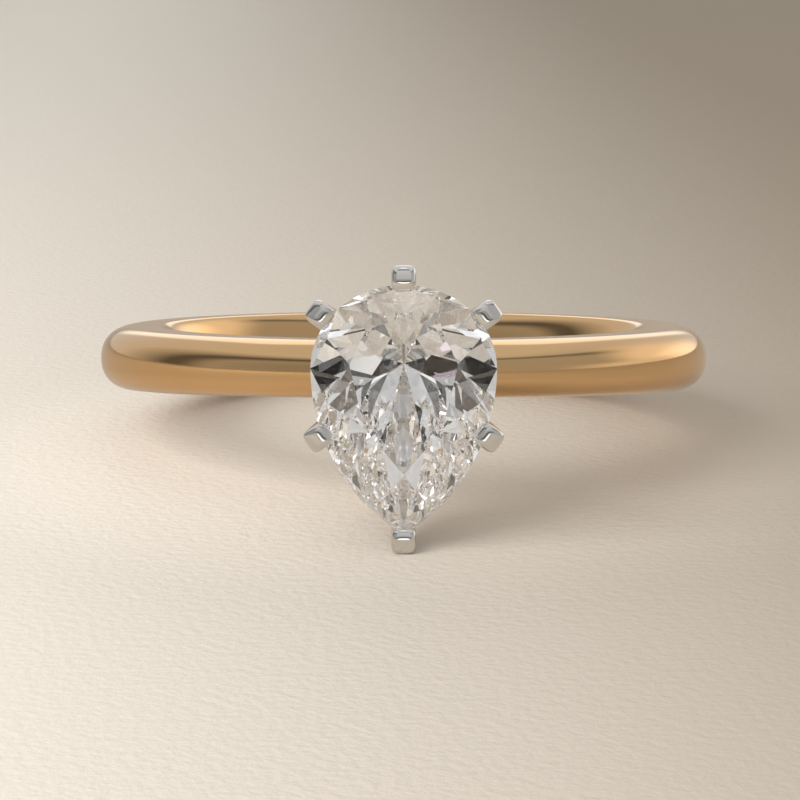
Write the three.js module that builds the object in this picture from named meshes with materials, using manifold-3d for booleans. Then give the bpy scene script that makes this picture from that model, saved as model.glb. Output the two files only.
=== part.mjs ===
// A pear-cut solitaire engagement ring, lying on a table as it comes to rest: on the claw at the
// stone's point and on the back of its shank. Millimetres, +Z up, origin at the bottom centre.
//
// The ring is built upright first: X across the finger, Y along the finger with the stone's round
// end towards +Y, and Z outwards through the stone. Heights are measured from the finger's centre.
import * as THREE from "three";
import { mergeVertices } from "three/addons/utils/BufferGeometryUtils.js";
import Module from "manifold-3d";

const manifold = await Module();
manifold.setup();

// ---------------------------------------------------------------- driving dimensions

const GAP = 0.015; // air left between neighbouring pieces

const fingerRadius = 8.25; // a 16.5 mm finger hole
const shankRadius = 10.75; // outside of the shank
const shankFlatInside = 8.7; // the flat side faces run between these two radii
const shankFlatOutside = 9.5;
const shankHalfWidthAtHead = 0.93;
const shankHalfWidthAtBack = 1.36;
const shankDome = 2.3; // exponent of the domed outside: 2 is an ellipse, more is squarer
const shankComfort = 2.2; // exponent of the finger side, which is domed too

const stoneHalfWidth = 2.85;
const stoneHeadLength = 2.56; // from the widest line to the round end
const stoneTailLength = 5.11; // from the widest line to the point
const stoneOffset = 0.23; // the widest line sits this far along +Y
const culetOffset = 0.36; // and the culet this far
const girdleHeight = 14.2;
const girdleThickness = 0.16;
const crownHeight = 0.8;
const pavilionDepth = 2.5;
const tableOffset = 0.39; // the table's widest corners sit this far along +Y
const tableShare = 0.577; // table width as a share of the outline's
const tableHeadShare = 0.57; // the same for its length towards the round end
const tableTailShare = 0.655; // and towards the point
const tailMainTwist = 0.8; // below 1, the tail's side mains run straighter than the outline
const starShare = 0.57; // how far down the crown the star facets reach
const lowerHalfShare = 0.33; // height of the lower half facets' tips above the culet

const baseBottom = 10.8; // the base plate sits on top of the shank
const baseTop = 11.35;
const baseInset = 1.75; // how far the plate's edge lies inside the stone's outline
const railBottom = 12.5;
const railTop = 13.0;
const railInsetOutside = 0.35;
const railInsetInside = 0.9;
const pegRadius = 0.7;
const pegRecess = 0.15; // the peg ends this far outside the finger hole
const pegChamfer = 0.08;

const clawDepth = 0.8; // towards and away from the stone
const clawWidth = 0.75; // along the girdle
const clawOutside = 0.6; // how far the claw stands outside the girdle
const clawTop = 14.78;
const clawFootDepth = 0.4; // the wire starts this far below the base plate's underside
const clawFootInset = 0.15; // and this far inside its edge
const clawBend = 1.7; // height over which it keeps the lean of its foot
const clawStraight = 0.9; // below the girdle it has nearly stopped leaning
const clawLean = 0.13; // what it still leans outwards from there to its end
const clawDome = 0.22; // height of the domed end
const clawCrown = 0.33; // share of that height that crowns the end towards and away from the stone
const headClawAngle = 36.6; // of the side claws, from the X axis, in degrees
const tailClawAngle = 35.4;
const headClawReach = 0.08; // the side claws at the round end stand this much further out
const tailClawReach = -0.08; // those along the tail a little closer in
const tipClawReach = -0.06; // and so does the claw at the point

// ---------------------------------------------------------------- geometry and solids

const toSolid = (geometry) => {
  geometry.deleteAttribute("normal");
  geometry.deleteAttribute("uv");
  const merged = mergeVertices(geometry, 1e-4);
  return new manifold.Manifold(
    new manifold.Mesh({
      numProp: 3,
      vertProperties: merged.attributes.position.array,
      triVerts: new Uint32Array(merged.index.array),
    }),
  );
};

const toGeometry = (solid) => {
  const mesh = solid.getMesh();
  const geometry = new THREE.BufferGeometry();
  geometry.setAttribute("position", new THREE.BufferAttribute(mesh.vertProperties, 3));
  geometry.setIndex(new THREE.BufferAttribute(mesh.triVerts, 1));
  const flat = geometry.toNonIndexed();
  flat.computeVertexNormals();
  return flat;
};

// A closed body through rings of points. Each ring has the same number of points, and either the
// last ring joins the first one or both ends are capped.
const loft = (rings, closed) => {
  const count = rings[0].length;
  const points = rings.flat();
  const triangles = [];
  const spans = closed ? rings.length : rings.length - 1;
  for (let i = 0; i < spans; i++) {
    const a = i * count;
    const b = ((i + 1) % rings.length) * count;
    for (let j = 0; j < count; j++) {
      const k = (j + 1) % count;
      triangles.push(a + j, b + k, b + j, a + j, a + k, b + k);
    }
  }
  if (!closed) {
    const last = (rings.length - 1) * count;
    for (let j = 1; j < count - 1; j++) {
      triangles.push(0, j + 1, j, last, last + j, last + j + 1);
    }
  }
  const geometry = new THREE.BufferGeometry().setFromPoints(points);
  geometry.setIndex(triangles);
  return geometry;
};

const superellipse = (angle, exponent) => {
  const c = Math.cos(angle);
  const s = Math.sin(angle);
  const power = 2 / exponent;
  return [Math.sign(c) * Math.abs(c) ** power, Math.sign(s) * Math.abs(s) ** power];
};

// ---------------------------------------------------------------- the stone's outline

// Two circular arcs make the tail. They leave the widest line square to it and meet at the point.
const tailRadius = (stoneTailLength ** 2 + stoneHalfWidth ** 2) / (2 * stoneHalfWidth);
const tailCentre = stoneHalfWidth - tailRadius;

const tailLength = (inset) => Math.sqrt((tailRadius - inset) ** 2 - tailCentre ** 2);

// The outline, moved inwards by inset. turn runs from 0 at the right-hand widest point over 1 at
// the round end and 2 at the left-hand widest point to 3 at the point.
const outline = (turn, inset = 0) => {
  if (turn <= 2) {
    const angle = (turn * Math.PI) / 2;
    return new THREE.Vector2(
      (stoneHalfWidth - inset) * Math.cos(angle),
      stoneOffset + (stoneHeadLength - inset) * Math.sin(angle),
    );
  }
  const radius = tailRadius - inset;
  const whole = Math.asin(tailLength(inset) / radius);
  const angle = whole * (turn <= 3 ? turn - 2 : 4 - turn);
  const side = turn <= 3 ? -1 : 1;
  return new THREE.Vector2(
    side * (tailCentre + radius * Math.cos(angle)),
    stoneOffset - radius * Math.sin(angle),
  );
};

const outlineShape = (inset) => {
  const radius = tailRadius - inset;
  const end = Math.asin(tailLength(inset) / radius);
  const shape = new THREE.Shape();
  shape.absellipse(0, stoneOffset, stoneHalfWidth - inset, stoneHeadLength - inset, 0, Math.PI);
  shape.absarc(-tailCentre, stoneOffset, radius, Math.PI, Math.PI + end);
  shape.absarc(tailCentre, stoneOffset, radius, -end, 0);
  return shape;
};

const slab = (shape, bottom, top, curveSegments) => {
  const options = { depth: top - bottom, bevelEnabled: false, curveSegments };
  return new THREE.ExtrudeGeometry(shape, options).translate(0, 0, bottom);
};

// ---------------------------------------------------------------- the stone

// The facet planes of a pear brilliant. Eight mains above and below the girdle, eight stars round
// the table, and two half facets beside every girdle point between two mains.
const facetPlanes = () => {
  const girdleTop = girdleHeight + girdleThickness / 2;
  const girdleBottom = girdleHeight - girdleThickness / 2;
  const tableHeight = girdleTop + crownHeight;
  const culetHeight = girdleBottom - pavilionDepth;
  const inside = new THREE.Vector3(0, stoneOffset, girdleHeight);
  const at = (point, height) => new THREE.Vector3(point.x, point.y, height);
  const through = (a, b, c) => {
    const plane = new THREE.Plane().setFromCoplanarPoints(a, b, c);
    return plane.distanceToPoint(inside) > 0 ? plane.negate() : plane;
  };
  const tableCorner = (edge) => {
    const along = edge.y - stoneOffset;
    const share = along > 0 ? tableHeadShare : tableTailShare;
    return new THREE.Vector2(tableShare * edge.x, tableOffset + share * along);
  };
  // The horizontal direction of a main's plane.
  const direction = (turn) => {
    if (turn === 3) return new THREE.Vector2(1, 0);
    const step = 1e-4;
    const tangent = outline(turn + step).sub(outline(turn));
    if (turn > 2) tangent.x *= tailMainTwist;
    return tangent.normalize();
  };
  // Where two planes cross at a given height.
  const crossing = (p, q, height) => {
    const det = p.normal.x * q.normal.y - p.normal.y * q.normal.x;
    const a = -p.constant - p.normal.z * height;
    const b = -q.constant - q.normal.z * height;
    return new THREE.Vector3(
      (a * q.normal.y - b * p.normal.y) / det,
      (p.normal.x * b - q.normal.x * a) / det,
      height,
    );
  };
  const culet = new THREE.Vector3(0, culetOffset, culetHeight);
  const mains = [0, 0.5, 1, 1.5, 2, 2.5, 3, 3.5].map((turn) => {
    const edge = outline(turn);
    const along = direction(turn);
    const corner = at(tableCorner(edge), tableHeight);
    const beside = edge.clone().add(along);
    return {
      turn,
      edge,
      corner,
      kite: through(at(edge, girdleTop), at(beside, girdleTop), corner),
      main: through(at(edge, girdleBottom), at(beside, girdleBottom), culet),
    };
  });
  const planes = [new THREE.Plane(new THREE.Vector3(0, 0, 1), -tableHeight)];
  mains.forEach((here, i) => {
    const next = mains[(i + 1) % mains.length];
    const between = outline(here.turn + 0.25);
    const star = crossing(here.kite, next.kite, tableHeight - starShare * crownHeight);
    const tip = crossing(here.main, next.main, culetHeight + lowerHalfShare * pavilionDepth);
    planes.push(here.kite, here.main, through(here.corner, next.corner, star));
    for (const { edge } of [here, next]) {
      planes.push(through(star, at(edge, girdleTop), at(between, girdleTop)));
      planes.push(through(tip, at(edge, girdleBottom), at(between, girdleBottom)));
    }
  });
  return planes;
};

// The stone, or with grow the room that it needs.
const stoneSolid = (grow) => {
  const low = girdleHeight - pavilionDepth - 1;
  const high = girdleHeight + crownHeight + 1;
  let solid = toSolid(slab(outlineShape(-grow), low, high, 24));
  for (const plane of facetPlanes()) {
    const { x, y, z } = plane.normal;
    solid = solid.trimByPlane([-x, -y, -z], plane.constant - grow);
  }
  return solid;
};

// ---------------------------------------------------------------- the shank

// One section at an angle from the head, as [radius, y] turned into place. The side faces lie in
// two planes that lean towards each other at the head, so the shank tapers to it.
const shankSection = (angle) => {
  const domeSteps = 14;
  const insideSteps = 8;
  const middleWidth = (shankHalfWidthAtHead + shankHalfWidthAtBack) / 2;
  const lean = (shankHalfWidthAtBack - shankHalfWidthAtHead) / 2 / shankFlatOutside;
  const sideAt = (radius) => middleWidth - lean * radius * Math.cos(angle);
  const profile = [];
  const domeDepth = shankRadius - shankFlatOutside;
  for (let i = 0; i <= domeSteps; i++) {
    const [out, up] = superellipse((i / domeSteps - 0.5) * Math.PI, shankDome);
    profile.push([shankFlatOutside + domeDepth * out, sideAt(shankFlatOutside) * up]);
  }
  const insideDepth = shankFlatInside - fingerRadius;
  for (let i = 0; i <= insideSteps; i++) {
    const [inwards, up] = superellipse((0.5 - i / insideSteps) * Math.PI, shankComfort);
    profile.push([shankFlatInside - insideDepth * inwards, sideAt(shankFlatInside) * up]);
  }
  return profile.map(
    ([r, y]) => new THREE.Vector3(-r * Math.sin(angle), y, r * Math.cos(angle)),
  );
};

const cylinder = (radius, bottom, top, segments) =>
  new THREE.CylinderGeometry(radius, radius, top - bottom, segments)
    .rotateX(Math.PI / 2)
    .translate(0, 0, (top + bottom) / 2);

const shankSolid = () => {
  const stations = 96;
  const rings = [];
  for (let i = 0; i < stations; i++) {
    rings.push(shankSection((i / stations) * 2 * Math.PI));
  }
  const hole = toSolid(cylinder(pegRadius + GAP, fingerRadius - 1, shankRadius + 1, 32));
  return toSolid(loft(rings, true)).subtract(hole);
};

// ---------------------------------------------------------------- the claws

// How far the outline lies from the head's axis in a direction.
const reach = (direction, inset) => {
  let low = 0;
  let high = 2 * stoneTailLength;
  const isInside = (distance) => {
    const p = direction.clone().multiplyScalar(distance);
    if (p.y > stoneOffset) {
      const x = p.x / (stoneHalfWidth - inset);
      const y = (p.y - stoneOffset) / (stoneHeadLength - inset);
      return x * x + y * y < 1;
    }
    return Math.hypot(Math.abs(p.x) - tailCentre, p.y - stoneOffset) < tailRadius - inset;
  };
  while (high - low > 1e-6) {
    const middle = (low + high) / 2;
    if (isInside(middle)) low = middle;
    else high = middle;
  }
  return low;
};

// A square wire with rounded corners that leans out from the base plate, straightens beside the
// girdle and ends in a domed cushion, crowned across the stone's edge.
const clawSolid = ({ degrees, further = 0 }, grow) => {
  const angle = THREE.MathUtils.degToRad(degrees);
  const outward = new THREE.Vector2(Math.cos(angle), Math.sin(angle));
  const foot = reach(outward, baseInset);
  const top = reach(outward, 0) + clawOutside + further - clawDepth / 2;
  const footHeight = baseBottom - clawFootDepth;
  const path = new THREE.CubicBezierCurve(
    new THREE.Vector2(foot - clawFootInset, footHeight),
    new THREE.Vector2((foot + top) / 2, footHeight + clawBend),
    new THREE.Vector2(top - clawLean, girdleHeight - clawStraight),
    new THREE.Vector2(top, clawTop - clawDome + grow),
  );
  const sideways = new THREE.Vector3(-outward.y, outward.x, 0);
  const corners = 16;
  // One ring of the wire at t along the path, drawn in to a share of its size on the domed end.
  const ringAt = (t, share) => {
    const point = path.getPoint(t);
    const tangent = path.getTangent(t);
    const centre = new THREE.Vector3(outward.x * point.x, outward.y * point.x, point.y);
    const along = new THREE.Vector3(outward.x * tangent.x, outward.y * tangent.x, tangent.y);
    const across = new THREE.Vector3(outward.x * tangent.y, outward.y * tangent.y, -tangent.x);
    const ring = [];
    for (let j = 0; j < corners; j++) {
      const turn = ((j + 0.5) / corners) * 2 * Math.PI;
      const [c, s] = superellipse(turn, 2 + 2 * share);
      const rise = Math.sqrt(1 - share ** 6) * (1 - clawCrown * (c * share) ** 2);
      ring.push(
        centre
          .clone()
          .addScaledVector(across, c * share * (clawDepth / 2 + grow))
          .addScaledVector(sideways, s * share * (clawWidth / 2 + grow))
          .addScaledVector(along, rise * clawDome),
      );
    }
    return ring;
  };
  const stations = 9;
  const rings = [];
  for (let i = 0; i <= stations; i++) rings.push(ringAt(i / stations, 1));
  for (const share of [0.96, 0.85, 0.6, 0.3]) rings.push(ringAt(1, share));
  const solid = toSolid(loft(rings, false));
  return solid.trimByPlane([0, 0, 1], baseBottom - grow);
};

const claws = {
  prong_heel: { degrees: 90 },
  prong_heel_left: { degrees: 180 - headClawAngle, further: headClawReach },
  prong_heel_right: { degrees: headClawAngle, further: headClawReach },
  prong_tail_left: { degrees: 180 + tailClawAngle, further: tailClawReach },
  prong_tail_right: { degrees: -tailClawAngle, further: tailClawReach },
  prong_tip: { degrees: -90, further: tipClawReach },
};

// ---------------------------------------------------------------- the gallery and the peg

const cutByClaws = (solid) =>
  Object.values(claws).reduce((left, claw) => left.subtract(clawSolid(claw, GAP)), solid);

const railSolid = () => {
  const shape = outlineShape(railInsetOutside);
  shape.holes.push(new THREE.Path(outlineShape(railInsetInside).getPoints(16).reverse()));
  return cutByClaws(toSolid(slab(shape, railBottom, railTop, 16)));
};

const baseSolid = () => {
  const hole = toSolid(cylinder(pegRadius + GAP, baseBottom - 1, baseTop + 1, 32));
  return cutByClaws(toSolid(slab(outlineShape(baseInset), baseBottom, baseTop, 12))).subtract(hole);
};

const pegSolid = () => {
  const bottom = fingerRadius + pegRecess;
  const profile = [
    [0, bottom],
    [pegRadius - pegChamfer, bottom],
    [pegRadius, bottom + pegChamfer],
    [pegRadius, baseTop - pegChamfer],
    [pegRadius - pegChamfer, baseTop],
    [0, baseTop],
  ].map(([r, h]) => new THREE.Vector2(r, h));
  return toSolid(new THREE.LatheGeometry(profile, 32).rotateX(Math.PI / 2));
};

// ---------------------------------------------------------------- materials and assembly

const yellowGold = new THREE.MeshStandardMaterial({
  color: 0xd9ae74,
  roughness: 0.16,
  metalness: 1,
});
const whiteGold = new THREE.MeshStandardMaterial({
  color: 0xd8d6d2,
  roughness: 0.12,
  metalness: 1,
});
const diamond = new THREE.MeshStandardMaterial({
  color: 0xf2f1ee,
  roughness: 0,
  metalness: 0,
  transparent: true,
  opacity: 0.4,
});

const ring = new THREE.Group();

const add = (name, solid, material) => {
  const mesh = new THREE.Mesh(toGeometry(solid), material);
  mesh.name = name;
  ring.add(mesh);
  return mesh;
};

const shank = add("shank", shankSolid(), yellowGold);
add("head_peg", pegSolid(), whiteGold);
add("base_plate", baseSolid(), whiteGold);
add("gallery_rail", railSolid(), whiteGold);
const seat = stoneSolid(GAP);
for (const [name, claw] of Object.entries(claws)) {
  add(name, clawSolid(claw, 0).subtract(seat), whiteGold);
}
add("pear_diamond", stoneSolid(0), diamond);

// Lays the ring down. It leans back until the tip claw and the shank are equally low.
const layDown = () => {
  const tipClaw = ring.getObjectByName("prong_tip");
  const box = new THREE.Box3();
  const lowest = (mesh) => box.setFromObject(mesh, true).min.z;
  let low = 0;
  let high = Math.PI / 6;
  while (high - low > 1e-7) {
    const lean = (low + high) / 2;
    ring.rotation.x = Math.PI / 2 - lean;
    ring.updateMatrixWorld(true);
    if (lowest(tipClaw) < lowest(shank)) low = lean;
    else high = lean;
  }
  const whole = new THREE.Box3().setFromObject(ring, true);
  const centre = whole.getCenter(new THREE.Vector3());
  ring.position.set(-centre.x, -centre.y, -whole.min.z);
};
layDown();

const part = new THREE.Group();
part.add(ring);

export default part;
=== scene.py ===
"""The looks of a pear-cut solitaire engagement ring, lying on a pale surface."""
import math

import bmesh
import bpy
from mathutils import Matrix, Vector


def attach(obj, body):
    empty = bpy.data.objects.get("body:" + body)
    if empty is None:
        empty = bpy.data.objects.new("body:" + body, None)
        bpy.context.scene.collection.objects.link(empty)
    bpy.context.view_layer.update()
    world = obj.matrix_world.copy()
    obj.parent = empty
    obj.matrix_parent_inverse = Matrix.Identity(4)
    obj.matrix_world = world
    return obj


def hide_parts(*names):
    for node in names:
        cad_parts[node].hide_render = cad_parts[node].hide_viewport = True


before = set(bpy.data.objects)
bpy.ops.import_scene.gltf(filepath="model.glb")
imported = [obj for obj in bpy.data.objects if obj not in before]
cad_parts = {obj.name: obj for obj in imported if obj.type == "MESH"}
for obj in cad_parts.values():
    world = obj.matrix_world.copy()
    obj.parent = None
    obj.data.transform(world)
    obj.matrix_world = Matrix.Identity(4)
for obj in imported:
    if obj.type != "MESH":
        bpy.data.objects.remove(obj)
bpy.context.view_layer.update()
scene = bpy.context.scene
MM = 0.001

# ------------------------------------------------------------------ the ring's own axes
# X across the finger, Y along the finger towards the stone's round end, Z out through the stone.
LEAN = math.radians(9.517533)
RING_CENTRE = Vector((0.0, 2.3876608, 2.9387596))
RING_TO_ROW = (
    Matrix.Scale(MM, 4)
    @ Matrix.Translation(RING_CENTRE)
    @ Matrix.Rotation(math.pi / 2 - LEAN, 4, "X")
)

# ------------------------------------------------------------------ sizes, as in the CAD
FINGER_RADIUS = 8.25
SHANK_RADIUS = 10.75
SHANK_FLAT_INSIDE = 8.7
SHANK_FLAT_OUTSIDE = 9.5
SHANK_HALF_WIDTH_AT_HEAD = 0.93
SHANK_HALF_WIDTH_AT_BACK = 1.36
SHANK_DOME = 2.3
SHANK_COMFORT = 2.2

STONE_HALF_WIDTH = 2.85
STONE_HEAD = 2.56
STONE_TAIL = 5.11
STONE_OFFSET = 0.23
CULET_OFFSET = 0.36
GIRDLE_HEIGHT = 14.2
GIRDLE_THICKNESS = 0.16
CROWN_HEIGHT = 0.8
PAVILION_DEPTH = 2.5
TABLE_OFFSET = 0.39
TABLE_SHARE = 0.577
TABLE_HEAD_SHARE = 0.57
TABLE_TAIL_SHARE = 0.655
TAIL_MAIN_TWIST = 0.8
STAR_SHARE = 0.57
LOWER_HALF_SHARE = 0.33

BASE_BOTTOM = 10.8
BASE_INSET = 1.75

CLAW_DEPTH = 0.8
CLAW_WIDTH = 0.75
CLAW_OUTSIDE = 0.6
CLAW_TOP = 14.78
CLAW_FOOT_DEPTH = 0.4
CLAW_FOOT_INSET = 0.15
CLAW_BEND = 1.7
CLAW_STRAIGHT = 0.9
CLAW_LEAN = 0.13
CLAW_DOME = 0.22
CLAW_CROWN = 0.33
HEAD_CLAW_ANGLE = 36.6
TAIL_CLAW_ANGLE = 35.4
HEAD_CLAW_REACH = 0.08
TAIL_CLAW_REACH = -0.08
TIP_CLAW_REACH = -0.06
CLAWS = {
    "prong_heel": (90, 0),
    "prong_heel_left": (180 - HEAD_CLAW_ANGLE, HEAD_CLAW_REACH),
    "prong_heel_right": (HEAD_CLAW_ANGLE, HEAD_CLAW_REACH),
    "prong_tail_left": (180 + TAIL_CLAW_ANGLE, TAIL_CLAW_REACH),
    "prong_tail_right": (-TAIL_CLAW_ANGLE, TAIL_CLAW_REACH),
    "prong_tip": (-90, TIP_CLAW_REACH),
}


# ------------------------------------------------------------------ mesh helpers
def superellipse(angle, exponent):
    """A point of the unit circle, pushed out towards a square as the exponent grows."""
    c, s = math.cos(angle), math.sin(angle)
    power = 2 / exponent
    return (
        math.copysign(abs(c) ** power, c),
        math.copysign(abs(s) ** power, s),
    )


def object_from(name, bm):
    """Moves a mesh from the ring's axes into the row frame and makes an object of it."""
    bm.transform(RING_TO_ROW)
    bmesh.ops.recalc_face_normals(bm, faces=bm.faces)
    mesh = bpy.data.meshes.new(name)
    bm.to_mesh(mesh)
    bm.free()
    obj = bpy.data.objects.new(name, mesh)
    scene.collection.objects.link(obj)
    return obj


def smooth(obj, degrees):
    """Shades a mesh smooth, apart from the edges that turn by more than some degrees."""
    mesh = obj.data
    mesh.shade_smooth()
    bm = bmesh.new()
    bm.from_mesh(mesh)
    limit = math.radians(degrees)
    for edge in bm.edges:
        if len(edge.link_faces) == 2 and edge.calc_face_angle() > limit:
            edge.smooth = False
    bm.to_mesh(mesh)
    bm.free()


def loft(rings, closed=False):
    """A mesh through rings of points, joined end to end or closed with caps."""
    bm = bmesh.new()
    rows = [[bm.verts.new(p) for p in ring] for ring in rings]
    count = len(rows[0])
    spans = len(rows) if closed else len(rows) - 1
    for i in range(spans):
        a, b = rows[i], rows[(i + 1) % len(rows)]
        for j in range(count):
            k = (j + 1) % count
            bm.faces.new((a[j], a[k], b[k], b[j]))
    if not closed:
        bm.faces.new(rows[0][::-1])
        bm.faces.new(rows[-1])
    return bm


def cut(bm, point, normal):
    """Cuts away what lies beyond a plane and closes the cut."""
    geom = bm.verts[:] + bm.edges[:] + bm.faces[:]
    made = bmesh.ops.bisect_plane(
        bm,
        geom=geom,
        dist=1e-6,
        plane_co=point,
        plane_no=normal,
        clear_outer=True,
    )
    edges = [e for e in made["geom_cut"] if isinstance(e, bmesh.types.BMEdge)]
    if edges:
        bmesh.ops.contextual_create(bm, geom=edges)


# ------------------------------------------------------------------ the stone's outline
TAIL_RADIUS = (STONE_TAIL**2 + STONE_HALF_WIDTH**2) / (2 * STONE_HALF_WIDTH)
TAIL_CENTRE = STONE_HALF_WIDTH - TAIL_RADIUS
LEFT, POINT = 2, 3  # turns at which the outline ends its round half and comes to its point


def outline(turn):
    """The girdle's outline: 0 right, 1 round end, 2 left, 3 point."""
    if turn <= LEFT:
        angle = turn * math.pi / 2
        return Vector(
            (
                STONE_HALF_WIDTH * math.cos(angle),
                STONE_OFFSET + STONE_HEAD * math.sin(angle),
            )
        )
    length = math.sqrt(TAIL_RADIUS**2 - TAIL_CENTRE**2)
    whole = math.asin(length / TAIL_RADIUS)
    angle = whole * (turn - LEFT if turn <= POINT else 4 - turn)
    side = -1 if turn <= POINT else 1
    return Vector(
        (
            side * (TAIL_CENTRE + TAIL_RADIUS * math.cos(angle)),
            STONE_OFFSET - TAIL_RADIUS * math.sin(angle),
        )
    )


# ------------------------------------------------------------------ the stone
def plane_through(a, b, c):
    """The plane through three points, as a point and a normal that faces out of the stone."""
    normal = (b - a).cross(c - a).normalized()
    inside = Vector((0, STONE_OFFSET, GIRDLE_HEIGHT))
    if normal.dot(inside - a) > 0:
        normal.negate()
    return a, normal


def crossing(p, q, height):
    """Where two planes meet at a height."""
    (a, m), (b, n) = p, q
    det = m.x * n.y - m.y * n.x
    c = m.dot(a) - m.z * height
    d = n.dot(b) - n.z * height
    return Vector(((c * n.y - d * m.y) / det, (m.x * d - n.x * c) / det, height))


def facet_planes():
    """The table, then the kite, main, star and upper and lower halves of each eighth."""
    girdle_top = GIRDLE_HEIGHT + GIRDLE_THICKNESS / 2
    girdle_bottom = GIRDLE_HEIGHT - GIRDLE_THICKNESS / 2
    table = girdle_top + CROWN_HEIGHT
    culet_height = girdle_bottom - PAVILION_DEPTH
    culet = Vector((0, CULET_OFFSET, culet_height))

    def at(point, height):
        return Vector((point.x, point.y, height))

    mains = []
    for turn in (0, 0.5, 1, 1.5, 2, 2.5, 3, 3.5):
        edge = outline(turn)
        along = edge.y - STONE_OFFSET
        share = TABLE_HEAD_SHARE if along > 0 else TABLE_TAIL_SHARE
        corner = Vector((TABLE_SHARE * edge.x, TABLE_OFFSET + share * along))
        if turn == POINT:
            tangent = Vector((1, 0))
        else:
            a_little = 1e-4
            tangent = outline(turn + a_little) - outline(turn)
            if turn > LEFT:
                tangent.x *= TAIL_MAIN_TWIST
            tangent.normalize()
        beside = edge + tangent
        kite = plane_through(
            at(edge, girdle_top), at(beside, girdle_top), at(corner, table)
        )
        main = plane_through(
            at(edge, girdle_bottom), at(beside, girdle_bottom), culet
        )
        mains.append((turn, edge, at(corner, table), kite, main))
    planes = [(Vector((0, 0, table)), Vector((0, 0, 1)))]
    for i, (turn, edge, corner, kite, main) in enumerate(mains):
        _, edge2, corner2, kite2, main2 = mains[(i + 1) % len(mains)]
        between = outline(turn + 0.25)
        star = crossing(kite, kite2, table - STAR_SHARE * CROWN_HEIGHT)
        tip = crossing(main, main2, culet_height + LOWER_HALF_SHARE * PAVILION_DEPTH)
        planes += [kite, main, plane_through(corner, corner2, star)]
        for e in (edge, edge2):
            planes.append(plane_through(star, at(e, girdle_top), at(between, girdle_top)))
            planes.append(
                plane_through(tip, at(e, girdle_bottom), at(between, girdle_bottom))
            )
    return planes


def make_stone():
    steps = 48
    points = []
    for quarter in range(4):
        points += [outline(quarter + i / steps) for i in range(steps)]
    spare = 1
    low = GIRDLE_HEIGHT - PAVILION_DEPTH - spare
    high = GIRDLE_HEIGHT + CROWN_HEIGHT + spare
    rings = [[Vector((p.x, p.y, h)) for p in points] for h in (low, high)]
    bm = loft(rings)
    for point, normal in facet_planes():
        cut(bm, point, normal)
    bmesh.ops.remove_doubles(bm, verts=bm.verts, dist=1e-5)
    return object_from("stone", bm)


# ------------------------------------------------------------------ the shank
def shank_section(angle):
    """A section of the band, at an angle round the finger from the head."""
    dome_steps = 48
    inner_steps = 32
    middle_width = (SHANK_HALF_WIDTH_AT_HEAD + SHANK_HALF_WIDTH_AT_BACK) / 2
    lean = (SHANK_HALF_WIDTH_AT_BACK - SHANK_HALF_WIDTH_AT_HEAD) / 2 / SHANK_FLAT_OUTSIDE

    def side_at(radius):
        return middle_width - lean * radius * math.cos(angle)

    profile = []
    depth = SHANK_RADIUS - SHANK_FLAT_OUTSIDE
    for i in range(dome_steps + 1):
        turn = (i / dome_steps - 0.5) * math.pi
        out, up = superellipse(turn, SHANK_DOME)
        profile.append((SHANK_FLAT_OUTSIDE + depth * out, side_at(SHANK_FLAT_OUTSIDE) * up))
    depth = SHANK_FLAT_INSIDE - FINGER_RADIUS
    for i in range(inner_steps + 1):
        turn = (0.5 - i / inner_steps) * math.pi
        inward, up = superellipse(turn, SHANK_COMFORT)
        profile.append(
            (SHANK_FLAT_INSIDE - depth * inward, side_at(SHANK_FLAT_INSIDE) * up)
        )
    return [Vector((-r * math.sin(angle), y, r * math.cos(angle))) for r, y in profile]


def make_shank():
    stations = 288
    rings = [shank_section(i / stations * 2 * math.pi) for i in range(stations)]
    obj = object_from("band", loft(rings, closed=True))
    smooth(obj, degrees=30)
    return obj


# ------------------------------------------------------------------ the head
def reach(direction, inset):
    """How far the outline, drawn in by an inset, lies from the ring's axis in a direction."""
    low, high = 0.0, 2 * STONE_TAIL
    while high - low > 1e-6:
        middle = (low + high) / 2
        p = direction * middle
        if p.y > STONE_OFFSET:
            x = p.x / (STONE_HALF_WIDTH - inset)
            y = (p.y - STONE_OFFSET) / (STONE_HEAD - inset)
            inside = x * x + y * y < 1
        else:
            inside = (
                math.hypot(abs(p.x) - TAIL_CENTRE, p.y - STONE_OFFSET)
                < TAIL_RADIUS - inset
            )
        low, high = (middle, high) if inside else (low, middle)
    return low


def bezier(points, t):
    """A point and a unit slope of a cubic curve, a share t along it."""
    a, b, c, d = points
    s = 1 - t
    point = a * s**3 + b * (3 * s * s * t) + c * (3 * s * t * t) + d * t**3
    slope = (b - a) * (3 * s * s) + (c - b) * (6 * s * t) + (d - c) * (3 * t * t)
    return point, slope.normalized()


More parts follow.
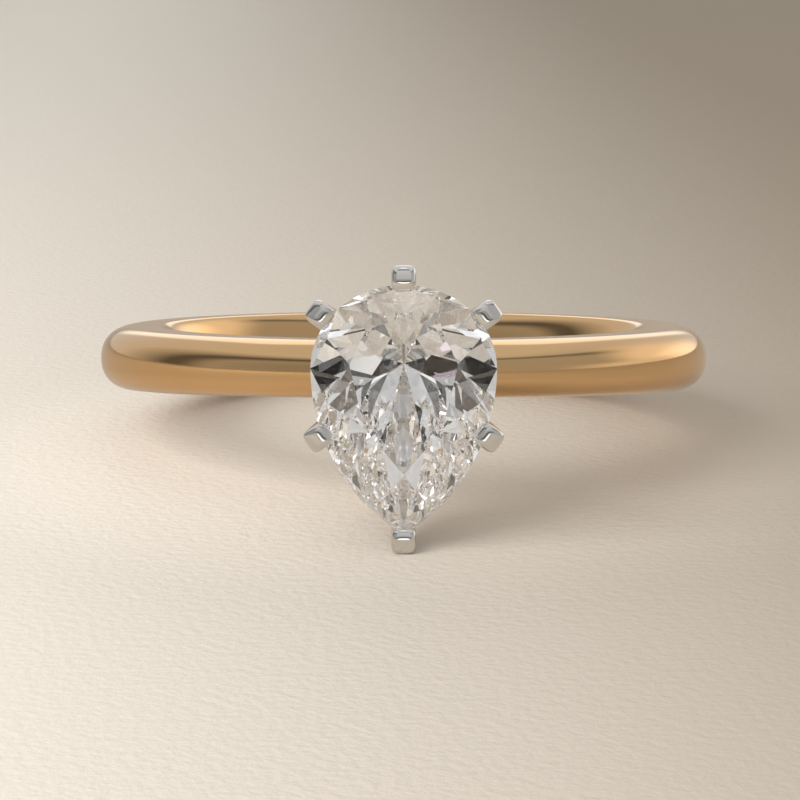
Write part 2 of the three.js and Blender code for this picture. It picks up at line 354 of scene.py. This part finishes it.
def make_claw(name, degrees, further):
    """A claw that leans out from the head's base and ends in a cushion over the stone's edge."""
    angle = math.radians(degrees)
    outward = Vector((math.cos(angle), math.sin(angle)))
    foot = reach(outward, BASE_INSET)
    top = reach(outward, 0) + CLAW_OUTSIDE + further - CLAW_DEPTH / 2
    foot_height = BASE_BOTTOM - CLAW_FOOT_DEPTH
    path = [
        Vector((foot - CLAW_FOOT_INSET, foot_height)),
        Vector(((foot + top) / 2, foot_height + CLAW_BEND)),
        Vector((top - CLAW_LEAN, GIRDLE_HEIGHT - CLAW_STRAIGHT)),
        Vector((top, CLAW_TOP - CLAW_DOME)),
    ]
    sideways = Vector((-outward.y, outward.x, 0))
    corners = 64

    def ring_at(t, share):
        """One ring of the wire at t along it, drawn in to a share of its size on the dome."""
        point, tangent = bezier(path, t)
        centre = Vector((outward.x * point.x, outward.y * point.x, point.y))
        along = Vector((outward.x * tangent.x, outward.y * tangent.x, tangent.y))
        across = Vector((outward.x * tangent.y, outward.y * tangent.y, -tangent.x))
        ring = []
        for j in range(corners):
            c, s = superellipse((j + 0.5) / corners * 2 * math.pi, 2 + 2 * share)
            rise = math.sqrt(1 - share**6) * (1 - CLAW_CROWN * (c * share) ** 2)
            ring.append(
                centre
                + across * (c * share * CLAW_DEPTH / 2)
                + sideways * (s * share * CLAW_WIDTH / 2)
                + along * (rise * CLAW_DOME)
            )
        return ring

    straight_steps = 40
    edge_steps = 18
    edge_turn = math.radians(78)
    flat_steps = 10
    rings = [ring_at(i / straight_steps, 1) for i in range(straight_steps + 1)]
    # with this share the dome's edge rises by the sine of the turn
    for i in range(1, edge_steps + 1):
        last = math.cos(i / edge_steps * edge_turn) ** (1 / 3)
        rings.append(ring_at(1, last))
    rings += [ring_at(1, last * (1 - i / flat_steps)) for i in range(1, flat_steps)]
    bm = loft(rings)
    cut(bm, Vector((0, 0, BASE_BOTTOM)), Vector((0, 0, -1)))
    obj = object_from(name, bm)
    smooth(obj, degrees=40)
    return obj


# ------------------------------------------------------------------ node trees
class Tree:
    """A node tree. A plain number or colour is set on its socket, and a socket is linked to it."""

    def __init__(self, owner):
        owner.use_nodes = True
        self.nodes, self.links = owner.node_tree.nodes, owner.node_tree.links
        self.nodes.clear()

    def put(self, socket, value):
        if isinstance(value, bpy.types.NodeSocket):
            self.links.new(value, socket)
        else:
            socket.default_value = value

    def node(self, kind, **inputs):
        """A node with inputs given by name, an underline standing for each space."""
        node = self.nodes.new(kind)
        for name, value in inputs.items():
            self.put(node.inputs[name.replace("_", " ")], value)
        return node

    def operate(self, kind, operation, *values):
        node = self.nodes.new(kind)
        node.operation = operation
        for socket, value in zip(node.inputs, values):
            self.put(socket, value)
        return node

    def calc(self, operation, *values):
        return self.operate("ShaderNodeMath", operation, *values).outputs[0]

    def both(self, first, *others):
        for other in others:
            first = self.calc("MULTIPLY", first, other)
        return first

    def step(self, value, low, high, at_low=0.0, at_high=1.0):
        """Runs smoothly from at_low to at_high as the value goes from low to high."""
        span = {"From_Min": low, "From_Max": high, "To_Min": at_low, "To_Max": at_high}
        node = self.node("ShaderNodeMapRange", Value=value, **span)
        node.interpolation_type = "SMOOTHSTEP"
        return node.outputs["Result"]

    def levels(self, value, stops):
        """Brightness along a value, through stops of value and brightness that start at 0."""
        whole = stops[-1][0]
        node = self.node("ShaderNodeValToRGB", Fac=self.calc("DIVIDE", value, whole))
        elements = node.color_ramp.elements
        for at, level in stops:
            if at == 0:
                stop = elements[0]
            elif at == whole:
                stop = elements[len(elements) - 1]
            else:
                stop = elements.new(at / whole)
            stop.color = (level, level, level, 1)
        return node.outputs["Color"]

    def mix(self, factor, a, b, blend_type="MIX"):
        """A mix of two colours, each a socket or a tuple of three."""
        node = self.node("ShaderNodeMix")
        node.data_type = "RGBA"
        node.blend_type = blend_type
        self.put(node.inputs["Factor"], factor)
        for socket, value in ((node.inputs[6], a), (node.inputs[7], b)):
            self.put(socket, (*value, 1) if isinstance(value, tuple) else value)
        return node.outputs[2]


def grey(level):
    return (level, level, level)


# ------------------------------------------------------------------ materials
def material(name, shader_kind, **inputs):
    mat = bpy.data.materials.new(name)
    tree = Tree(mat)
    shader = tree.node(shader_kind, **inputs)
    tree.node("ShaderNodeOutputMaterial", Surface=shader.outputs[0])
    return mat, tree, shader


def bumps(tree, shader, height, strength, distance):
    bump = tree.node("ShaderNodeBump", Strength=strength, Distance=distance, Height=height)
    tree.put(shader.inputs["Normal"], bump.outputs["Normal"])


def polished_metal(name, colour, dark, roughness, scratch):
    """Polished metal with a slow change of the alloy's colour and fine marks of wear."""
    mat, tree, shader = material(name, "ShaderNodeBsdfPrincipled", Metallic=1.0)
    where = tree.node("ShaderNodeTexCoord").outputs["Object"]
    cloud = tree.node("ShaderNodeTexNoise", Vector=where, Scale=160, Detail=4)
    ramp = tree.node("ShaderNodeValToRGB", Fac=cloud.outputs["Fac"])
    for stop, position, shade in zip(ramp.color_ramp.elements, (0.3, 0.7), (dark, colour)):
        stop.position = position
        stop.color = (*shade, 1)
    tree.put(shader.inputs["Base Color"], ramp.outputs["Color"])
    marks = tree.node("ShaderNodeTexNoise", Vector=where, Scale=900, Detail=6, Roughness=0.65)
    wear = tree.node(
        "ShaderNodeMapRange",
        Value=marks.outputs["Fac"],
        From_Min=0.3,
        From_Max=0.7,
        To_Min=roughness * 0.75,
        To_Max=roughness * 1.35,
    )
    tree.put(shader.inputs["Roughness"], wear.outputs["Result"])
    bumps(tree, shader, marks.outputs["Fac"], strength=scratch, distance=0.00002)
    return mat


def diamond():
    """A flawless clear stone: its facets and the surround give all that is seen in it."""
    return material(
        "diamond", "ShaderNodeBsdfGlass", Color=(1, 1, 1, 1), Roughness=0.0, IOR=2.417
    )[0]


FLOOR_PALE = (0.80, 0.75, 0.685)
FLOOR_PAINTED_SHADE = (0.31, 0.255, 0.195)
PAINTED_SHADE_ACROSS = (1.0, 0.05, 0)  # the way in which painted shade grows, as light from the left falls off
PAINTED_SHADE_CHANGE = (-0.03, 0.034)  # metres along it
MIRRORED_PAINTED_SHADE = 0.7  # how much painted shade polished metal mirrors, from 0 pale to 1 dull
RING_SURROUND = (0.008, 0.019)  # metres from the middle, where painted light lightens the floor in the ring's shadow
PAINTED_LIGHT_NEAR_RING = 1.25


def pale_ground():
    """A pale ground with a fine grain, with painted shade that grows to the right and painted
    light near the ring.
    """
    mat, tree, shader = material("floor", "ShaderNodeBsdfPrincipled", Roughness=0.6)
    shader.inputs["Specular IOR Level"].default_value = 0.1
    where = tree.node("ShaderNodeTexCoord").outputs["Object"]
    grain = tree.node("ShaderNodeTexNoise", Vector=where, Scale=3000, Detail=3)
    bumps(tree, shader, grain.outputs["Fac"], strength=0.45, distance=0.00012)
    across = tree.operate("ShaderNodeVectorMath", "DOT_PRODUCT", where, PAINTED_SHADE_ACROSS)
    # painted shade: the floor colour darkens to the right and back as light from the left would
    # fall off
    painted_shade = tree.step(across.outputs["Value"], *PAINTED_SHADE_CHANGE)
    # painted shade: the pale side is partly a painted sheen, which polished metal doesn't mirror,
    # so metal mirrors the floor at a fixed painted shade
    rays = tree.node("ShaderNodeLightPath").outputs
    mirrored = tree.calc("SUBTRACT", rays["Is Glossy Ray"], rays["Is Transmission Ray"])
    seen = tree.node(
        "ShaderNodeMapRange", Value=mirrored, To_Min=painted_shade, To_Max=MIRRORED_PAINTED_SHADE
    )
    shade = tree.mix(seen.outputs["Result"], FLOOR_PALE, FLOOR_PAINTED_SHADE)
    # painted light: the floor colour is lightened near the ring, where its shadow falls
    away = tree.operate("ShaderNodeVectorMath", "LENGTH", where).outputs["Value"]
    painted_light_colour = tree.operate("ShaderNodeVectorMath", "SCALE", shade)
    painted_light = tree.step(away, *RING_SURROUND, PAINTED_LIGHT_NEAR_RING, 1.0)
    tree.put(painted_light_colour.inputs["Scale"], painted_light)
    tree.put(shader.inputs["Base Color"], painted_light_colour.outputs[0])
    return mat


# ------------------------------------------------------------------ the pieces
def place(obj, mat, node):
    """Gives a piece its material and puts it in the place of a CAD node."""
    obj.data.materials.append(mat)
    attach(obj, "root")
    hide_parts(node)


gold = polished_metal(
    "yellow_gold",
    colour=(0.83, 0.545, 0.28),
    dark=(0.80, 0.52, 0.26),
    roughness=0.1,
    scratch=0.03,
)
white = polished_metal(
    "white_gold",
    colour=(0.86, 0.85, 0.83),
    dark=(0.82, 0.81, 0.79),
    roughness=0.06,
    scratch=0.03,
)
place(make_shank(), gold, "shank")
place(make_stone(), diamond(), "pear_diamond")
for claw, (degrees, further) in CLAWS.items():
    name = claw.replace("prong", "claw")
    place(make_claw(name, degrees, further), white, claw)
for node in ("head_peg", "base_plate", "gallery_rail"):
    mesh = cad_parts[node].data
    mesh.materials.clear()
    mesh.materials.append(white)

# ------------------------------------------------------------------ the floor
FLOOR_RADIUS = 3.0  # metres

bm = bmesh.new()
bmesh.ops.create_circle(bm, cap_ends=True, segments=96, radius=FLOOR_RADIUS)
mesh = bpy.data.meshes.new("floor")
bm.to_mesh(mesh)
bm.free()
floor = bpy.data.objects.new("floor", mesh)
floor.data.materials.append(pale_ground())
scene.collection.objects.link(floor)

# ------------------------------------------------------------------ soft lights for the floor
LIGHTS_AIM = Vector((0, -0.006, 0.004))
WARM_WHITE = (1, 0.985, 0.96)


def panel(name, azimuth, elevation, distance, size, power):
    """A soft light aimed at the ring. Azimuth 0 is the viewer's side, 90 the right."""
    a, e = math.radians(azimuth), math.radians(elevation)
    way = Vector((math.sin(a) * math.cos(e), -math.cos(a) * math.cos(e), math.sin(e)))
    light = bpy.data.lights.new(name, "AREA")
    light.shape = "RECTANGLE"
    light.size, light.size_y = size
    light.energy = power
    light.color = WARM_WHITE
    obj = bpy.data.objects.new(name, light)
    obj.location = LIGHTS_AIM + distance * way
    obj.rotation_euler = (LIGHTS_AIM - obj.location).to_track_quat("-Z", "Y").to_euler()
    obj.visible_glossy = False
    obj.visible_transmission = False
    scene.collection.objects.link(obj)


panel("key", azimuth=-50, elevation=36, distance=0.14, size=(0.12, 0.09), power=0.165)
panel("front", azimuth=0, elevation=11, distance=0.4, size=(0.36, 0.08), power=0.4)

# ------------------------------------------------------------------ the studio round the ring
# All directions are in degrees: azimuth 0 is the viewer's side and 90 the right, elevation 0 the
# horizon, and aside is the azimuth to either side. Fades run from one such angle to another.

# Brightness of a broad window and its dark frame, from the window's middle at 0 past the frame
# at 1, left and right of the viewer.
WINDOW_LEFT = [
    (0, 0.30),
    (0.5, 0.32),
    (0.8, 0.38),
    (0.94, 0.13),
    (1.03, 0.11),
    (1.18, 0.38),
    (1.4, 0.64),
    (2, 0.62),
]
WINDOW_RIGHT = [
    (0, 0.42),
    (0.92, 0.42),
    (1.02, 0.18),
    (1.06, 0.18),
    (1.16, 0.55),
    (1.4, 0.64),
    (2, 0.62),
]
FRAME_HALF_WIDTH = (97, 118)  # left, right
FRAME_HEIGHT = (38, 44)  # left, right
FRAME_SHAPE = 4  # the exponent of the frame's rounded rectangle
SIDES_MEET = (-5, 5)

# Brightness by elevation straight in front of the ring.
FRONT = [
    (0, 0.5),
    (5, 0.45),
    (7, 0.1),
    (10, 0.1),
    (12, 0.45),
    (14, 0.25),
    (16, 0.5),
    (52, 0.62),
    (58, 0.16),
    (64, 0.14),
    (70, 0.8),
    (90, 1.3),
]
FRONT_FADE = (24, 14)

# Patches: the angle they lie along, its middle and half width, their elevation and half height,
# the softness of their edge, and their colour.
FRONT_GLINT = ("azimuth", 0, 6, 3, 2.2, 0.15, grey(1.7))
SIDE_PATCHES = [
    ("azimuth", 122, 28, 14, 24, 0.5, (0.95, 0.9, 0.85)),
    ("azimuth", 134, 18, 4, 12, 0.7, (1.45, 1.38, 1.3)),
    ("azimuth", 96, 26, 2, 6, 0.7, (0.8, 0.77, 0.74)),
]
BACK_LIGHT = (1.25, 1.25, 1.24)
BACK_LIGHT_HALF_WIDTH = (0.27, 0.19)  # of the unit direction's x
BACK_LIGHT_BEHIND = (0.1, 0)  # of the unit direction's part towards the viewer
BACK_LIGHT_FOOT = (0, 4)
BACK_LIGHT_TOP = (46, 36)
HORIZON_TINT = (1.0, 0.97, 0.92)
TINT_TOP = 55

# What the stone gathers: brightness by elevation, then what lies over it.
GEM_LEVELS = [(0, 0.68), (30, 0.88), (44, 0.7), (60, 0.62), (90, 0.66)]
GEM_BESIDE = {"aside": (45, 62), "elevation": (52, 46)}
GEM_PANEL_SCALE = 8
GEM_BRIGHT_PANELS = (0.66, 0.70)
GEM_BRIGHT = 3.0
GEM_FIRE = 0.25
GEM_DARK_PANELS = (0.30, 0.26)
GEM_DARK = (0.04, 0.038, 0.035)
GEM_VIEWER = {"aside": (37, 27), "elevation": (26, 20)}
GEM_VIEWER_COLOUR = (0.01, 0.009, 0.008)
GEM_SPARK_SCALE = 9
GEM_SPARK_EDGE = (0.16, 0.11)
GEM_SPARK = 5.0
GEM_PATCHES = [
    ("aside", 39, 5, 5, 5, 0.25, grey(0.05)),
    ("azimuth", -21, 7, 4.5, 5, 0.2, (0.9, 0.88, 0.85)),
    ("azimuth", 33, 3, 13, 3.5, 0.25, grey(1.5)),
    ("aside", 36, 6.5, 37, 6, 0.25, grey(0.02)),
    ("aside", 20, 2.5, 38.5, 2.5, 0.25, grey(0.02)),
    ("azimuth", 33, 4, 63, 3, 0.25, grey(0.02)),
    ("aside", 45, 6, 56, 5, 0.25, grey(0.45)),
    ("aside", 0, 6, 28, 3, 0.25, grey(0.15)),
    ("azimuth", 9, 6, 46, 3, 0.25, grey(0.05)),
    ("azimuth", 0, 10, 4, 3, 0.12, grey(1.15)),
]
GEM_MIRRORED = 0.15
AMBIENT = (0.69, 0.672, 0.635)


class Studio(Tree):
    """The world's node tree, with the direction that each ray looks in."""

    def __init__(self, world):
        super().__init__(world)
        self.way = self.node("ShaderNodeTexCoord").outputs["Generated"]
        x, y, z = self.node("ShaderNodeSeparateXYZ", Vector=self.way).outputs
        self.off_middle = self.calc("ABSOLUTE", x)
        self.towards = self.calc("MULTIPLY", y, -1)
        self.elevation = self.degrees("ARCSINE", z)
        self.azimuth = self.degrees("ARCTAN2", x, self.towards)
        self.aside = self.calc("ABSOLUTE", self.azimuth)

    def degrees(self, operation, *values):
        return self.calc("MULTIPLY", self.calc(operation, *values), 180 / math.pi)

    def inside(self, limits):
        """1 where both angles are inside their limits, each given as a fade."""
        return self.both(*(self.step(getattr(self, angle), *limits[angle]) for angle in limits))

    def lay(self, colour, patch):
        """Lays an elliptical patch of directions over a colour."""
        across, middle, width, up, height, edge, shade = patch
        across = getattr(self, across)
        u = self.calc("DIVIDE", self.calc("SUBTRACT", across, middle), width)
        v = self.calc("DIVIDE", self.calc("SUBTRACT", self.elevation, up), height)
        squares = self.calc("ADD", self.calc("MULTIPLY", u, u), self.calc("MULTIPLY", v, v))
        distance = self.calc("SQRT", squares)
        return self.mix(self.step(distance, 1 + edge, 1 - edge), colour, shade)

    def seen_by_metal(self):
        """A window in front of the ring, with a dark frame that arches over it, and its lamps."""
        right_hand = self.step(self.azimuth, *SIDES_MEET)
        frame_width = self.step(self.azimuth, *SIDES_MEET, *FRAME_HALF_WIDTH)
        frame_height = self.step(self.azimuth, *SIDES_MEET, *FRAME_HEIGHT)
        above = self.calc("MAXIMUM", self.elevation, 0)
        u = self.calc("POWER", self.calc("DIVIDE", self.aside, frame_width), FRAME_SHAPE)
        v = self.calc("POWER", self.calc("DIVIDE", above, frame_height), FRAME_SHAPE)
        round_frame = self.calc("POWER", self.calc("ADD", u, v), 1 / FRAME_SHAPE)
        left = self.levels(round_frame, WINDOW_LEFT)
        right = self.levels(round_frame, WINDOW_RIGHT)
        colour = self.mix(right_hand, left, right)
        front = self.levels(self.elevation, FRONT)
        colour = self.mix(self.step(self.aside, *FRONT_FADE), colour, front)
        colour = self.lay(colour, FRONT_GLINT)
        # light from behind, which draws the bright line along every upper edge
        behind = self.both(
            self.step(self.off_middle, *BACK_LIGHT_HALF_WIDTH),
            self.step(self.towards, *BACK_LIGHT_BEHIND),
            self.step(self.elevation, *BACK_LIGHT_FOOT),
            self.step(self.elevation, *BACK_LIGHT_TOP),
        )
        colour = self.mix(behind, colour, BACK_LIGHT)
        for patch in SIDE_PATCHES:
            colour = self.lay(colour, patch)
        tint = self.mix(self.step(self.elevation, 0, TINT_TOP), HORIZON_TINT, grey(1.0))
        return self.mix(1.0, colour, tint, "MULTIPLY")

    def gathered_by_stone(self):
        """White all round with brighter and darker panels beside, and black at the viewer."""
        colour = self.levels(self.elevation, GEM_LEVELS)
        beside = self.inside(GEM_BESIDE)
        cells = self.node("ShaderNodeTexVoronoi", Vector=self.way, Scale=GEM_PANEL_SCALE)
        hues = cells.outputs["Color"]
        pick = self.node("ShaderNodeSeparateColor", Color=hues).outputs[0]
        fire = self.mix(GEM_FIRE, grey(1.0), hues)
        bright = self.mix(1.0, grey(GEM_BRIGHT), fire, "MULTIPLY")
        lit = self.both(beside, self.step(pick, *GEM_BRIGHT_PANELS))
        colour = self.mix(lit, colour, bright)
        unlit = self.both(beside, self.step(pick, *GEM_DARK_PANELS))
        colour = self.mix(unlit, colour, GEM_DARK)
        colour = self.mix(self.inside(GEM_VIEWER), colour, GEM_VIEWER_COLOUR)
        for patch in GEM_PATCHES:
            colour = self.lay(colour, patch)
        cells = self.node("ShaderNodeTexVoronoi", Vector=self.way, Scale=GEM_SPARK_SCALE)
        cells.inputs["Randomness"].default_value = 0.9
        sparks = self.both(self.step(cells.outputs["Distance"], *GEM_SPARK_EDGE), beside)
        return self.mix(sparks, colour, grey(GEM_SPARK))

    def light(self):
        """Joins the surrounds: the stone's faces mirror a much darker room than it gathers."""
        room = self.seen_by_metal()
        mirrored = self.mix(1.0, room, grey(GEM_MIRRORED), "MULTIPLY")
        rays = self.node("ShaderNodeLightPath").outputs
        whole = self.mix(rays["Is Singular Ray"], room, mirrored)
        whole = self.mix(rays["Is Transmission Ray"], whole, self.gathered_by_stone())
        whole = self.mix(rays["Is Diffuse Ray"], whole, AMBIENT)
        back = self.node("ShaderNodeBackground", Color=whole, Strength=1.0)
        self.node("ShaderNodeOutputWorld", Surface=back.outputs[0])


scene.world = bpy.data.worlds.new("studio")
Studio(scene.world).light()

# ------------------------------------------------------------------ the camera
CAMERA_DISTANCE = 97.7  # from the middle of the finger hole
CAMERA_ELEVATION = LEAN + math.radians(2.45)
CAMERA_PITCH = LEAN + math.radians(3.364)
CAMERA_YAW = math.radians(0.08)
RAY_BOUNCES = 96

camera = bpy.data.cameras.new("camera")
camera.sensor_width = 36
camera.lens = 122.94
camera.clip_start = 0.01
camera.clip_end = 20
eye = bpy.data.objects.new("camera", camera)
way = Vector((0, -math.cos(CAMERA_ELEVATION), math.sin(CAMERA_ELEVATION)))
eye.location = MM * (RING_CENTRE + CAMERA_DISTANCE * way)
eye.rotation_euler = (math.pi / 2 - CAMERA_PITCH, 0, CAMERA_YAW)
scene.collection.objects.link(eye)
scene.camera = eye
scene.cycles.max_bounces = RAY_BOUNCES
scene.cycles.transmission_bounces = RAY_BOUNCES
scene.cycles.glossy_bounces = RAY_BOUNCES
scene.view_settings.view_transform = "Standard"
